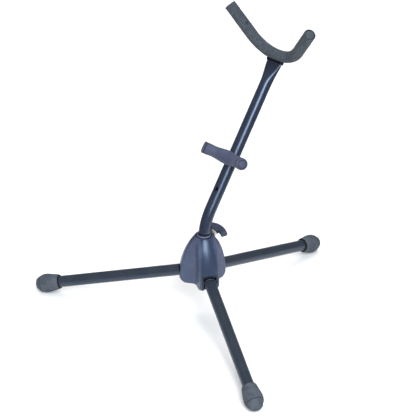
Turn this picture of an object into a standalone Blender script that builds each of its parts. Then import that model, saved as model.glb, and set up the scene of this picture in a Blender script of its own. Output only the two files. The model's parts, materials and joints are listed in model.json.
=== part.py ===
"""Saxophone stand: a three-legged hub, a bent upright held by a wing screw, a padded yoke and a lower rest.

The hub's axis is vertical. The front leg lies along +X, under the leaning upright, and +Z is up.
"""

from math import acos, atan2, cos, degrees, radians, sin, sqrt, tan

import bmesh
import bpy
from mathutils import Matrix, Vector

MM = 0.001

# Driving dimensions, in millimetres and degrees.
TUBE_R = 8.0
TUBE_WALL = 1.2
GAP = 0.3

LEG_PITCH = 15.16
LEG_AZIMUTHS = {"front": 0.0, "left": 120.0, "right": -120.0}
PIVOT_R = 21.0
PIVOT_Z = 69.06
FOOT_MOUTH = 194.5
FOOT_LENGTH = 33.5
HUB_X = -57.7

HUB_BOTTOM = 53.9
HUB_TOP = 125.5
HUB_COLLAR_R = 12.4
HUB_SPINE_R = 34.5
HUB_SPINE_Z = 61.0
HUB_HALF_WIDTH = 13.7
SOCKET_R = 10.2
SOCKET_FLOOR = 86.0

LEAN = 34.8
BEND_Z = 141.8
BEND_R = 73.6
YOKE_ALONG = 248.4
YOKE_OFFSET = 1.0
FLARE_OFFSET = 0.5
REST_ALONG = 95.9
SPARE_ALONG = 51.0

YOKE_TILT = 18.0
YOKE_ROD_R = 4.0
YOKE_ARC_R = 50.9
YOKE_ARC_HALF = 53.7
YOKE_ARM = 49.8
FOAM_R = 8.0

REST_HEIGHT = 13.4
REST_ARC_R = 64.8
REST_ARC_HALF = 33.3
PEG_R = 3.0

SCREW_RISE = 21.0
SCREW_Z = 115.0
SCREW_R = 2.95
PIN_R = 2.0

STEPS = 32


def clear_scene():
    for obj in list(bpy.data.objects):
        bpy.data.objects.remove(obj, do_unlink=True)


def new_collection(name, hidden=False):
    collection = bpy.data.collections.new(name)
    bpy.context.scene.collection.children.link(collection)
    collection.hide_render = hidden
    return collection


def material(name, colour, roughness, metallic=0.0):
    made = bpy.data.materials.new(name)
    made.use_nodes = True
    shader = made.node_tree.nodes["Principled BSDF"]
    shader.inputs["Base Color"].default_value = (*colour, 1.0)
    shader.inputs["Roughness"].default_value = roughness
    shader.inputs["Metallic"].default_value = metallic
    return made


clear_scene()
PARTS = new_collection("saxophone_stand")
CUTTERS = new_collection("cutters", hidden=True)

HUB_PLASTIC = material("hub_plastic", (0.085, 0.105, 0.175), 0.42)
BUSH_PLASTIC = material("bush_plastic", (0.10, 0.12, 0.18), 0.4)
KNOB_PLASTIC = material("knob_plastic", (0.045, 0.055, 0.085), 0.5)
CAP_PLASTIC = material("cap_plastic", (0.03, 0.035, 0.045), 0.55)
LEG_PAINT = material("leg_paint", (0.055, 0.068, 0.10), 0.4, 0.2)
UPRIGHT_PAINT = material("upright_paint", (0.04, 0.055, 0.10), 0.22, 0.3)
FOAM = material("foam", (0.08, 0.095, 0.115), 0.9)
REST_RUBBER = material("rest_rubber", (0.085, 0.10, 0.165), 0.6)
FOOT_RUBBER = material("foot_rubber", (0.085, 0.10, 0.12), 0.8)
ZINC = material("zinc_steel", (0.72, 0.71, 0.66), 0.35, 1.0)


def frame_empty(name, parent=None, place=(0, 0, 0), turn=(0, 0, 0)):
    """An empty at a place in mm, turned by Euler angles in degrees, for pieces to hang on."""
    empty = bpy.data.objects.new(name, None)
    empty.location = Vector(place) * MM
    empty.rotation_euler = [radians(a) for a in turn]
    empty.parent = parent
    PARTS.objects.link(empty)
    return empty


def add_object(name, data, finish=None, parent=None, place=(0, 0, 0), turn=(0, 0, 0), where=None):
    obj = bpy.data.objects.new(name, data)
    obj.location = Vector(place) * MM
    obj.rotation_euler = [radians(a) for a in turn]
    obj.parent = parent
    if finish:
        data.materials.clear()
        data.materials.append(finish)
    (where or PARTS).objects.link(obj)
    return obj


def as_cutter(obj):
    obj.hide_render = True
    obj.display_type = "WIRE"
    return obj


def smooth(mesh, angle=35):
    mesh.shade_smooth()
    mesh.set_sharp_from_angle(angle=radians(angle))
    return mesh


def mesh_from(name, build):
    """A mesh made in mm by build(bm) and stored in metres."""
    bm = bmesh.new()
    build(bm)
    bmesh.ops.recalc_face_normals(bm, faces=bm.faces)
    bmesh.ops.scale(bm, vec=(MM, MM, MM), verts=bm.verts)
    mesh = bpy.data.meshes.new(name)
    bm.to_mesh(mesh)
    bm.free()
    return smooth(mesh)


def cylinder_mesh(name, radius, low, high, sides=STEPS, turn=None):
    """A cylinder along local Z from low to high, or along another axis given by a turn."""

    def build(bm):
        place = Matrix.Translation((0, 0, (low + high) / 2))
        bmesh.ops.create_cone(
            bm, cap_ends=True, segments=sides, radius1=radius, radius2=radius, depth=high - low, matrix=place
        )
        if turn:
            bmesh.ops.rotate(bm, matrix=turn, verts=bm.verts)

    return mesh_from(name, build)


def box_mesh(name, low, high):
    low, high = Vector(low), Vector(high)

    def build(bm):
        size = Matrix.Diagonal((*(high - low), 1))
        bmesh.ops.create_cube(bm, size=1, matrix=Matrix.Translation((low + high) / 2) @ size)

    return mesh_from(name, build)


def turned_mesh(name, profile):
    """Open outline of (radius, height) points in mm, running down the outside, for a Screw modifier."""
    mesh = bpy.data.meshes.new(name)
    points = [(r * MM, 0, z * MM) for r, z in profile]
    mesh.from_pydata(points, [(i, i + 1) for i in range(len(points) - 1)], [])
    return mesh


def spin(obj, steps=STEPS):
    screw = obj.modifiers.new("Screw", "SCREW")
    screw.steps = steps
    screw.render_steps = steps
    screw.use_merge_vertices = True
    screw.merge_threshold = 0.00001
    screw.use_smooth_shade = True
    return obj


def turned(name, profile, finish, parent=None, place=(0, 0, 0), turn=(0, 0, 0), steps=STEPS):
    return spin(add_object(name, turned_mesh(name, profile), finish, parent, place, turn), steps)


def ring_profile(inner, outer, low, high):
    """Closed outline of a plain sleeve."""
    return [(outer, high), (outer, low), (inner, low), (inner, high), (outer, high)]


def cut(obj, cutter):
    as_cutter(cutter)
    boolean = obj.modifiers.new("Cut " + cutter.name, "BOOLEAN")
    boolean.operation = "DIFFERENCE"
    boolean.object = cutter
    return obj


def join(obj, other):
    as_cutter(other)
    boolean = obj.modifiers.new("Join " + other.name, "BOOLEAN")
    boolean.operation = "UNION"
    boolean.object = other
    return obj


def cutter(name, mesh, parent=None, place=(0, 0, 0), turn=(0, 0, 0)):
    return as_cutter(add_object(name, mesh, None, parent, place, turn, CUTTERS))


def swept_mesh(name, points, radii, caps=True, resolution=3):
    """A round section carried along points in mm, with a radius at each, as a mesh in metres."""
    curve = bpy.data.curves.new(name, "CURVE")
    curve.dimensions = "3D"
    curve.bevel_depth = MM
    curve.bevel_resolution = resolution
    curve.use_fill_caps = caps
    spline = curve.splines.new("POLY")
    spline.points.add(len(points) - 1)
    for point, place, radius in zip(spline.points, points, radii):
        point.co = (*(Vector(place) * MM), 1)
        point.radius = radius
    curve.twist_mode = "MINIMUM"
    guide = bpy.data.objects.new(name, curve)
    CUTTERS.objects.link(guide)
    bpy.context.view_layer.update()
    graph = bpy.context.evaluated_depsgraph_get()
    mesh = bpy.data.meshes.new_from_object(guide.evaluated_get(graph))
    bpy.data.objects.remove(guide)
    bm = bmesh.new()
    bm.from_mesh(mesh)
    bmesh.ops.remove_doubles(bm, verts=bm.verts, dist=0.000001)
    bmesh.ops.recalc_face_normals(bm, faces=bm.faces)
    bm.to_mesh(mesh)
    bm.free()
    mesh.name = name
    return smooth(mesh)


def plate_mesh(name, outlines, half_thickness):
    """Flat closed outlines of (x, y) points in mm, filled and thickened along Z, the inner ones as holes."""
    curve = bpy.data.curves.new(name, "CURVE")
    curve.dimensions = "2D"
    curve.fill_mode = "BOTH"
    curve.extrude = half_thickness * MM
    for outline in outlines:
        spline = curve.splines.new("POLY")
        spline.points.add(len(outline) - 1)
        spline.use_cyclic_u = True
        for point, (x, y) in zip(spline.points, outline):
            point.co = (x * MM, y * MM, 0, 1)
    guide = bpy.data.objects.new(name, curve)
    CUTTERS.objects.link(guide)
    bpy.context.view_layer.update()
    graph = bpy.context.evaluated_depsgraph_get()
    mesh = bpy.data.meshes.new_from_object(guide.evaluated_get(graph))
    bpy.data.objects.remove(guide)
    bm = bmesh.new()
    bm.from_mesh(mesh)
    bmesh.ops.remove_doubles(bm, verts=bm.verts, dist=0.000001)
    bmesh.ops.recalc_face_normals(bm, faces=bm.faces)
    bm.to_mesh(mesh)
    bm.free()
    mesh.name = name
    return smooth(mesh)


def arc(centre, radius, start, end, count):
    """Points (x, y) along an arc, angles in degrees."""
    angles = [radians(start + (end - start) * i / (count - 1)) for i in range(count)]
    return [(centre[0] + radius * cos(a), centre[1] + radius * sin(a)) for a in angles]


def smoothstep(x):
    x = min(max(x, 0.0), 1.0)
    return x * x * (3 - 2 * x)


ORIGIN = frame_empty("stand_origin", place=(HUB_X, 0, 0))


# --- Hub ---------------------------------------------------------------------------------------------


def spine_radius(z):
    """Distance of a pod's outer spine from the hub's axis: a long arc, with a rounded lower corner."""
    rise = HUB_TOP - HUB_SPINE_Z
    run = HUB_SPINE_R - HUB_COLLAR_R
    long_arc = (rise**2 + run**2) / (2 * run)
    corner = 8.0
    if z < HUB_BOTTOM + corner:
        return HUB_SPINE_R - corner + sqrt(max(corner**2 - (HUB_BOTTOM + corner - z) ** 2, 0))
    return HUB_SPINE_R - long_arc + sqrt(long_arc**2 - max(z - HUB_SPINE_Z, 0) ** 2)


def pod_half_outline(nose, half_width):
    """(along, across) points of half a pod, from the middle of its nose to the valley beside it."""
    bulge, corner, fillet = 3.0, 3.0, 7.0
    points = [(nose, 0.0), (nose - bulge * 0.25, half_width * 0.45)]
    points += arc((nose - bulge - corner, half_width - corner), corner, 30, 90, 4)
    along = (half_width + fillet) * tan(radians(30))
    points += arc((along, half_width + fillet), fillet, -90, -120, 4)
    return points


def hub_outline(z):
    """The hub's closed horizontal outline: three pods lower down, blending into a round collar at the top."""
    neck_z = 112.0
    base = min(z, neck_z)
    nose = spine_radius(z)
    scale = nose / spine_radius(base)
    half = pod_half_outline(spine_radius(base), HUB_HALF_WIDTH)
    half = [(u * scale, v * scale) for u, v in half]
    roundness = smoothstep((z - neck_z) / (HUB_TOP - neck_z))
    sector = [(u, -v) for u, v in reversed(half)][1:] + half[1:]
    outline = []
    for azimuth in sorted(LEG_AZIMUTHS.values()):
        for u, v in sector:
            angle, distance = atan2(v, u), sqrt(u * u + v * v)
            distance += (nose - distance) * roundness
            turned_angle = angle + radians(azimuth)
            outline.append(Vector((distance * cos(turned_angle), distance * sin(turned_angle), z)))
    return outline


def hub_mesh():
    levels = [HUB_BOTTOM, 55.1, 57.6, 61.9, 69.0, 77.0, 86.0, 94.0]
    levels += [101.0, 107.0, 112.0, 116.0, 119.5, 122.5, 124.6]
    rims = [hub_outline(z) for z in levels]
    rims.append([point * 0.965 + Vector((0, 0, HUB_TOP - 0.965 * levels[-1])) for point in rims[-1]])

    def build(bm):
        rings = [[bm.verts.new(p) for p in rim] for rim in rims]
        count = len(rings[0])
        for low, high in zip(rings, rings[1:]):
            for i in range(count):
                j = (i + 1) % count
                bm.faces.new((low[i], low[j], high[j], high[i]))
        bm.faces.new(list(reversed(rings[0])))
        bm.faces.new(rings[-1])

    return mesh_from("hub_shell", build)


SCREW_FRAME = frame_empty("screw_axis", ORIGIN, (0, 0, SCREW_Z), (0, 90 - SCREW_RISE, 0))
MOUTH_HALF = 10.7
MOUTH_R = 31.0
MOUTH_TOP = 79.2
SLOT_HALF = TUBE_R + 0.5
ROOT_R = 11.6
PAD_BORE = 4.1
PAD_SEAT = 15.1
NUT_SEAT = 16.4


def leg_frame(name, azimuth):
    return frame_empty(
        "leg_pivot_" + name,
        ORIGIN,
        (PIVOT_R * cos(radians(azimuth)), PIVOT_R * sin(radians(azimuth)), PIVOT_Z),
        (0, LEG_PITCH, azimuth),
    )


LEG_FRAMES = {name: leg_frame(name, azimuth) for name, azimuth in LEG_AZIMUTHS.items()}


def build_hub():
    hub = add_object("hub_shell", hub_mesh(), HUB_PLASTIC, ORIGIN)
    cut(hub, cutter("socket_cut", cylinder_mesh("socket_cut", SOCKET_R, SOCKET_FLOOR, HUB_TOP + 5), ORIGIN))
    below = HUB_BOTTOM - 10
    across = Matrix.Rotation(radians(90), 3, "X")
    along = Matrix.Rotation(radians(90), 3, "Y")
    mouth = box_mesh("mouth_cut", (MOUTH_R, -MOUTH_HALF, below), (50, MOUTH_HALF, MOUTH_TOP))
    slot = box_mesh("slot_cut", (PIVOT_R - ROOT_R, -SLOT_HALF, below), (50, SLOT_HALF, PIVOT_Z - 4))
    arch = cylinder_mesh("arch_cut", SLOT_HALF + 0.2, -4, 30, STEPS, along)
    root = cylinder_mesh("root_cut", ROOT_R, -SLOT_HALF - 0.4, SLOT_HALF + 0.4, STEPS, across)
    bore = cylinder_mesh("pin_cut", PIN_R + GAP, -SLOT_HALF - 3.2, SLOT_HALF + 3.2, 20, across)
    entry = box_mesh("entry_cut", (-PIN_R + 0.2, -SLOT_HALF - 3, -40), (PIN_R - 0.2, SLOT_HALF + 3, -1))
    for name, azimuth in LEG_AZIMUTHS.items():
        frame = LEG_FRAMES[name]
        upright = frame_empty("slot_frame_" + name, ORIGIN, (0, 0, 0), (0, 0, azimuth))
        cut(hub, cutter("mouth_cut_" + name, mouth, upright))
        cut(hub, cutter("slot_cut_" + name, slot, upright))
        cut(hub, cutter("arch_cut_" + name, arch, frame))
        cut(hub, cutter("root_cut_" + name, root, frame))
        cut(hub, cutter("pin_cut_" + name, bore, frame))
        cut(hub, cutter("entry_cut_" + name, entry, upright, (PIVOT_R, 0, PIVOT_Z)))
    cut(hub, cutter("pad_bore_cut", cylinder_mesh("pad_bore_cut", PAD_BORE, 6, PAD_SEAT), SCREW_FRAME))
    cut(hub, cutter("screw_bore_cut", cylinder_mesh("screw_bore_cut", 3.3, 10, 30), SCREW_FRAME))
    cut(hub, cutter("nut_seat_cut", cylinder_mesh("nut_seat_cut", 6.2, NUT_SEAT, 40), SCREW_FRAME))


# --- Upright -----------------------------------------------------------------------------------------

LEAN_RAD = radians(LEAN)
ALONG = Vector((sin(LEAN_RAD), 0, cos(LEAN_RAD)))
TOWARD_SAX = Vector((-cos(LEAN_RAD), 0, sin(LEAN_RAD)))
BEND = Vector((0, 0, BEND_Z))
TUBE_BOTTOM = 88.8
TOP_HALF_WIDTH = 13.0
TOP_HALF_THICK = 2.7
FLARE_LENGTH = 38.0
UPRIGHT_TOP = YOKE_ALONG - YOKE_ROD_R - 0.5


def upright_path():
    """Points up the vertical stretch, round the bend and up to the flattened end."""
    tangent = BEND_R * tan(LEAN_RAD / 2)
    start = BEND_Z - tangent
    points = [Vector((0, 0, TUBE_BOTTOM)), Vector((0, 0, start))]
    turns = 8
    for i in range(1, turns + 1):
        angle = LEAN_RAD * i / turns
        points.append(Vector((BEND_R * (1 - cos(angle)), 0, start + BEND_R * sin(angle))))
    points.append(BEND + ALONG * (UPRIGHT_TOP - FLARE_LENGTH))
    flare_steps = 7
    for i in range(1, flare_steps + 1):
        points.append(BEND + ALONG * (UPRIGHT_TOP - FLARE_LENGTH * (1 - i / flare_steps)))
    return points


def upright_mesh():
    """The bent tube's outer skin, with its top squeezed flat and a little wider than the tube."""
    path = upright_path()
    mesh = swept_mesh("upright_tube", path, [TUBE_R] * len(path), caps=False, resolution=6)
    for vertex in mesh.vertices:
        place = Vector(vertex.co) / MM - BEND
        along = place.dot(ALONG)
        amount = smoothstep((along - (UPRIGHT_TOP - FLARE_LENGTH)) / FLARE_LENGTH)
        if along < 30 or amount == 0:
            continue
        depth = place.dot(TOWARD_SAX)
        depth *= 1 + (TOP_HALF_THICK / TUBE_R - 1) * amount
        width = place.y * (1 + (TOP_HALF_WIDTH / TUBE_R - 1) * amount)
        moved = BEND + ALONG * along + TOWARD_SAX * (depth + FLARE_OFFSET * amount) + Vector((0, width, 0))
        vertex.co = moved * MM
    return mesh


REST_FRAME = frame_empty("rest_frame", ORIGIN, BEND + ALONG * REST_ALONG, (0, LEAN - 90, 0))
YOKE_CENTRE = BEND + ALONG * YOKE_ALONG + TOWARD_SAX * YOKE_OFFSET
YOKE_FRAME = frame_empty("yoke_frame", ORIGIN, YOKE_CENTRE, (0, -YOKE_TILT, 0))
FLARE_END = BEND + ALONG * YOKE_ALONG + TOWARD_SAX * FLARE_OFFSET
YOKE_ROOT = frame_empty("yoke_root", ORIGIN, FLARE_END, (0, LEAN, 0))


def build_upright():
    tube = add_object("upright_tube", upright_mesh(), UPRIGHT_PAINT, ORIGIN)
    wall = tube.modifiers.new("Wall", "SOLIDIFY")
    wall.thickness = TUBE_WALL * MM
    wall.offset = -1
    hole = cylinder_mesh("peg_hole_cut", PEG_R + GAP, -12, 12, 20)
    spare = BEND + ALONG * SPARE_ALONG
    cut(tube, cutter("peg_hole_cut", hole, REST_FRAME))
    cut(tube, cutter("spare_hole_cut", hole, ORIGIN, spare, (0, LEAN - 90, 0)))
    inside = TUBE_R - TUBE_WALL - GAP
    foot = TUBE_BOTTOM - GAP
    turned(
        "upright_end_plug",
        [
            (0, foot + 12),
            (inside - 1, foot + 12),
            (inside, foot + 11),
            (inside, foot),
            (TUBE_R - 0.2, foot),
            (TUBE_R - 0.2, foot - 1.4),
            (TUBE_R - 0.8, foot - 2),
            (0, foot - 2),
        ],
        CAP_PLASTIC,
        ORIGIN,
    )
    outer = SOCKET_R - GAP
    bore = TUBE_R + GAP + 0.1
    neck, neck_top = 9.55, HUB_TOP + 2.4
    turned(
        "swivel_bush",
        [
            (neck + 0.05, HUB_TOP + 0.9),
            (outer, HUB_TOP + 0.5),
            (outer, SOCKET_FLOOR + GAP + 2),
            (bore, SOCKET_FLOOR + GAP + 2),
            (bore, HUB_TOP - 5),
            (bore + 0.6, neck_top),
            (neck - 0.25, neck_top),
            (neck, neck_top - 0.3),
            (neck, HUB_TOP + 0.9),
            (neck + 0.05, HUB_TOP + 0.9),
        ],
        BUSH_PLASTIC,
        ORIGIN,
    )


# --- Yoke --------------------------------------------------------------------------------------------


def yoke_points(shorten):
    """The yoke's centre line in its own frame: two straight arms joined by an arc, as a wide U."""
    half = radians(YOKE_ARC_HALF)
    arm = YOKE_ARM - shorten
    turns = 16
    points = []
    for i in range(turns + 1):
        angle = half * (2 * i / turns - 1)
        points.append(Vector((0, YOKE_ARC_R * sin(angle), YOKE_ARC_R * (1 - cos(angle)))))
    reach = Vector((0, cos(half), sin(half))) * arm
    points.insert(0, points[0] + Vector((0, -reach.y, reach.z)))
    points.append(points[-1] + reach)
    return points


CAP_DEPTH = 5.0
CAP_R = 6.8


def build_yoke():
    rod_path = yoke_points(CAP_DEPTH + GAP)
    rod = swept_mesh("yoke_rod", rod_path, [YOKE_ROD_R] * len(rod_path), resolution=2)
    add_object("yoke_rod", rod, UPRIGHT_PAINT, YOKE_FRAME)

    foam_path = yoke_points(0)
    foam_mesh = swept_mesh("yoke_foam", foam_path, [FOAM_R] * len(foam_path), resolution=4)
    foam = add_object("yoke_foam", foam_mesh, FOAM, YOKE_FRAME)
    bore_path = yoke_points(-4)
    bore = swept_mesh("foam_bore_cut", bore_path, [YOKE_ROD_R + GAP] * len(bore_path), resolution=2)
    cut(foam, cutter("foam_bore_cut", bore, YOKE_FRAME))
    notch_half = Vector((4.6, TOP_HALF_WIDTH + 1.2, 0))
    notch = box_mesh("foam_notch_cut", (-notch_half.x, -notch_half.y, -14), (notch_half.x, notch_half.y, 0.5))
    cut(foam, cutter("foam_notch_cut", notch, YOKE_ROOT))

    end = yoke_points(0)
    arm_angle = degrees_from_z(end[-1] - end[-2])
    seat = cylinder_mesh("cap_seat_cut", CAP_R + GAP, -CAP_DEPTH - GAP, 4)
    for side, tip, turn in (("left", end[-1], -arm_angle), ("right", end[0], arm_angle)):
        cut(foam, cutter("cap_seat_cut_" + side, seat, YOKE_FRAME, tip, (turn, 0, 0)))
        cap = [
            (0, 0),
            (CAP_R - 0.8, 0),
            (CAP_R, -0.6),
            (CAP_R, -CAP_DEPTH),
            (0, -CAP_DEPTH),
        ]
        turned("yoke_cap_" + side, cap, CAP_PLASTIC, YOKE_FRAME, tip, (turn, 0, 0), 24)

    outer = stadium(TOP_HALF_WIDTH + 0.9, TOP_HALF_THICK + 1.5)
    inner = stadium(TOP_HALF_WIDTH + GAP, TOP_HALF_THICK + GAP)
    bead = plate_mesh("yoke_weld", [outer, inner], 1.0)
    add_object("yoke_weld", bead, UPRIGHT_PAINT, YOKE_ROOT, (0, 0, -YOKE_ROD_R - 2.2))


def degrees_from_z(direction):
    """How far a direction in the YZ plane leans from +Z, in degrees."""
    return degrees(acos(direction.z / direction.length))


def stadium(half_width, half_thick):
    """Outline of a flattened ring: wide along Y, thin along X, with round ends."""
    centre = half_width - half_thick
    return arc((0, centre), half_thick, 0, 180, 9) + arc((0, -centre), half_thick, 180, 360, 9)


# --- Lower rest --------------------------------------------------------------------------------------


def rest_points():
    """The rest's curved centre line and its radius at each point, from one tip to the other."""
    half = radians(REST_ARC_HALF)
    middle, waist, tip = 9.6, 7.7, 8.3
    turns = 14
    points, radii = [], []
    for i in range(turns + 1):
        share = 2 * i / turns - 1
        angle = half * share
        points.append(Vector((0, REST_ARC_R * sin(angle), REST_HEIGHT + REST_ARC_R * (1 - cos(angle)))))
        reach = abs(share)
        if reach < 0.6:
            radii.append(middle + (waist - middle) * smoothstep(reach / 0.6))
        else:
            radii.append(waist + (tip - waist) * smoothstep((reach - 0.6) / 0.4))
    dome = 2.6
    for end, neighbour in ((0, 1), (-1, -2)):
        outward = (points[end] - points[neighbour]).normalized()
        rim = points[end] + outward * 0.7
        points[end] = rim - outward * dome
        extra = [(0.6, 0.965), (0.88, 0.87), (1.0, 0.74)]
        added = [(rim - outward * dome * (1 - share), tip * factor) for share, factor in extra]
        if end == 0:
            points = [p for p, r in reversed(added)] + points
            radii = [r for p, r in reversed(added)] + radii
        else:
            points += [p for p, r in added]
            radii += [r for p, r in added]
    return points, radii


def build_rest():
    points, radii = rest_points()
    arm_mesh = swept_mesh("rest_arm", points, radii, resolution=4)
    arm = add_object("rest_arm", arm_mesh, REST_RUBBER, REST_FRAME)
    saddle = cylinder_mesh("saddle_cut", TUBE_R + GAP, -30, 30, 40, Matrix.Rotation(radians(90), 3, "Y"))
    cut(arm, cutter("saddle_cut", saddle, REST_FRAME))
    socket_top = REST_HEIGHT + 3
    socket = cylinder_mesh("peg_socket_cut", PEG_R + GAP, 0, socket_top, 20)
    cut(arm, cutter("peg_socket_cut", socket, REST_FRAME))
    peg_end = -TUBE_R - 4
    turned(
        "rest_peg",
        [
            (0, socket_top - GAP),
            (PEG_R, socket_top - GAP),
            (PEG_R, peg_end + 1),
            (PEG_R - 1, peg_end),
            (0, peg_end),
        ],
        ZINC,
        REST_FRAME,
        steps=20,
    )


# --- Clamp -------------------------------------------------------------------------------------------

PAD_END = 13.3
KNOB_NEAR = 22.2
WING_APEX = 28.9
WING_ARC_R = 30.0
WING_SPAN = 35.0
WING_TURN = -1.0


def wing_outline():
    """Crescent in the knob's plane as (outward, sideways) points, curving back to the hub."""
    centre = WING_APEX - WING_ARC_R
    thick_middle, thick_tip = 4.8, 4.6
    count = 13
    outer, inner = [], []
    for i in range(count):
        share = 2 * i / (count - 1) - 1
        angle = radians(WING_SPAN * share)
        half = thick_middle + (thick_tip - thick_middle) * share * share
        outer.append((centre + (WING_ARC_R + half) * cos(angle), (WING_ARC_R + half) * sin(angle)))
        inner.append((centre + (WING_ARC_R - half) * cos(angle), (WING_ARC_R - half) * sin(angle)))
    return outer + inner[::-1]


def build_clamp():
    pad = add_object(
        "clamp_pad", cylinder_mesh("clamp_pad", PAD_BORE - GAP, 7, PAD_END, 24), CAP_PLASTIC, SCREW_FRAME
    )
    front = cylinder_mesh("pad_front_cut", SOCKET_R + 0.1, -60, 60, 48)
    cut(pad, cutter("pad_front_cut", front, ORIGIN, (0, 0, SCREW_Z)))

    screw_end = WING_APEX - 1
    turned(
        "clamp_screw",
        [
            (0, screw_end),
            (SCREW_R, screw_end),
            (SCREW_R, PAD_END + GAP + 0.8),
            (SCREW_R - 0.8, PAD_END + GAP),
            (0, PAD_END + GAP),
        ],
        ZINC,
        SCREW_FRAME,
        steps=20,
    )
    nut = cylinder_mesh("clamp_nut", 5.75, NUT_SEAT + GAP, NUT_SEAT + GAP + 4.5, 6)
    nut_object = add_object("clamp_nut", nut, ZINC, SCREW_FRAME)
    thread = cylinder_mesh("nut_bore_cut", SCREW_R + GAP, 10, 30, 20)
    cut(nut_object, cutter("nut_bore_cut", thread, SCREW_FRAME))

    flat = plate_mesh("clamp_knob", [wing_outline()], 4.0)
    stand_up = Matrix(((0, 0, 1), (0, 1, 0), (1, 0, 0))).to_4x4()
    flat.transform(stand_up)
    flat.flip_normals()
    knob_frame = frame_empty("knob_frame", SCREW_FRAME, (0, 0, 0), (0, 0, WING_TURN))
    knob = add_object("clamp_knob", flat, KNOB_PLASTIC, knob_frame)
    edge = knob.modifiers.new("Edge", "BEVEL")
    edge.width = 1.4 * MM
    edge.segments = 2
    edge.limit_method = "ANGLE"
    edge.angle_limit = radians(50)
    boss_profile = [(0, 29.5), (3.4, 29.5), (5.6, 25.6)]
    boss_profile += [(5.6, KNOB_NEAR + 0.6), (5.0, KNOB_NEAR), (0, KNOB_NEAR)]
    boss = spin(cutter("knob_boss", turned_mesh("knob_boss", boss_profile), knob_frame), 24)
    join(knob, boss)
    bore = cylinder_mesh("knob_bore_cut", SCREW_R + GAP, KNOB_NEAR - 5, screw_end + GAP, 20)
    cut(knob, cutter("knob_bore_cut", bore, knob_frame))


# --- Legs --------------------------------------------------------------------------------------------

LEG_ROOT = -7.0


def foot_profile():
    """Rubber foot along the leg's axis, from the closed end back to its mouth, as one turned outline."""
    end = FOOT_MOUTH + FOOT_LENGTH
    outside = [(0, end), (7.4, end), (8.5, end - 0.9), (10.0, end - 3.8), (11.6, end - 6.6)]
    outside += [(12.55, end - 9.0), (13.0, end - 12.0), (13.1, end - 15.0), (12.7, end - 19.0)]
    outside += [(12.0, end - 23.0), (11.3, end - 26.8), (10.8, end - 30.2), (10.3, end - 32.6)]
    outside.append((9.9, FOOT_MOUTH))
    bore = TUBE_R + GAP
    inside = [(bore, FOOT_MOUTH), (bore, end - 9), (0, end - 9)]
    return outside + inside


def build_legs():
    upright = (0, 90, 0)
    tube_end = FOOT_MOUTH + FOOT_LENGTH - 9 - GAP
    across = Matrix.Rotation(radians(90), 3, "X")
    pin_hole = cylinder_mesh("leg_hole_cut", PIN_R + GAP, -15, 15, 20, across)
    inside = TUBE_R - TUBE_WALL
    tube_mesh = turned_mesh("leg_tube", ring_profile(inside, TUBE_R, LEG_ROOT, tube_end))
    plug_profile = [
        (0, 16),
        (inside - GAP - 1, 16),
        (inside - GAP, 15),
        (inside - GAP, LEG_ROOT - GAP),
        (TUBE_R - 0.2, LEG_ROOT - GAP),
        (TUBE_R - 1.0, LEG_ROOT - GAP - 1.6),
        (TUBE_R - 3.5, LEG_ROOT - GAP - 2.6),
        (0, LEG_ROOT - GAP - 3.0),
    ]
    plug_mesh = turned_mesh("leg_plug", plug_profile)
    pin_mesh = cylinder_mesh("leg_pin", PIN_R, -SLOT_HALF - 2.9, SLOT_HALF + 2.9, 20, across)
    foot_mesh = turned_mesh("foot", foot_profile())
    ground = box_mesh("ground_cut", (100, -40, -20), (300, 40, 0))
    for name, azimuth in LEG_AZIMUTHS.items():
        frame = LEG_FRAMES[name]
        hole = cutter("leg_hole_cut_" + name, pin_hole, frame)
        tube = spin(add_object("leg_tube_" + name, tube_mesh, LEG_PAINT, frame, (0, 0, 0), upright))
        cut(tube, hole)
        plug = spin(add_object("leg_plug_" + name, plug_mesh, CAP_PLASTIC, frame, (0, 0, 0), upright), 24)
        cut(plug, hole)
        add_object("leg_pin_" + name, pin_mesh, ZINC, frame)
        foot = spin(add_object("foot_" + name, foot_mesh, FOOT_RUBBER, frame, (0, 0, 0), upright))
        cut(foot, cutter("ground_cut_" + name, ground, ORIGIN, (0, 0, 0), (0, 0, azimuth)))


build_hub()
build_upright()
build_yoke()
build_rest()
build_clamp()
build_legs()
bpy.context.view_layer.update()
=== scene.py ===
"""The saxophone stand's looks: fine meshes, procedural materials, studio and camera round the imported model.

Lengths are in millimetres in the hub's own frame until a piece is placed, and in metres after that.
"""

import json
from math import acos, atan2, cos, exp, hypot, pi, radians, sin, sqrt, tan

import bmesh
import bpy
from mathutils import Matrix, Vector, noise


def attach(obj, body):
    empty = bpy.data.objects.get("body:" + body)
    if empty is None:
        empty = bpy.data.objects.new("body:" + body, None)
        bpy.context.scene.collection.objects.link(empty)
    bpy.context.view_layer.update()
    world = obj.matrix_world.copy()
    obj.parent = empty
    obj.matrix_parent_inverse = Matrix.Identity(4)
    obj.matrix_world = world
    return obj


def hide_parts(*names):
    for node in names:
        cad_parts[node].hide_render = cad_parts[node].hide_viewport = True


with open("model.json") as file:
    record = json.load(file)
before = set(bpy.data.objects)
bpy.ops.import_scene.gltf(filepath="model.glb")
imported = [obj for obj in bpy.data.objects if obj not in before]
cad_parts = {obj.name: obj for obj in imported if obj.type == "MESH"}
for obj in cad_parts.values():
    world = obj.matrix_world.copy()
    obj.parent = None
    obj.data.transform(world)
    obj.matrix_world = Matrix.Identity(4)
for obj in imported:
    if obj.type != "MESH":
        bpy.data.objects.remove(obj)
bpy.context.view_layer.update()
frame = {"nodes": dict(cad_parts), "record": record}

MM = 0.001
GAP = 0.3
HUB_X = -57.7

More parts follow.
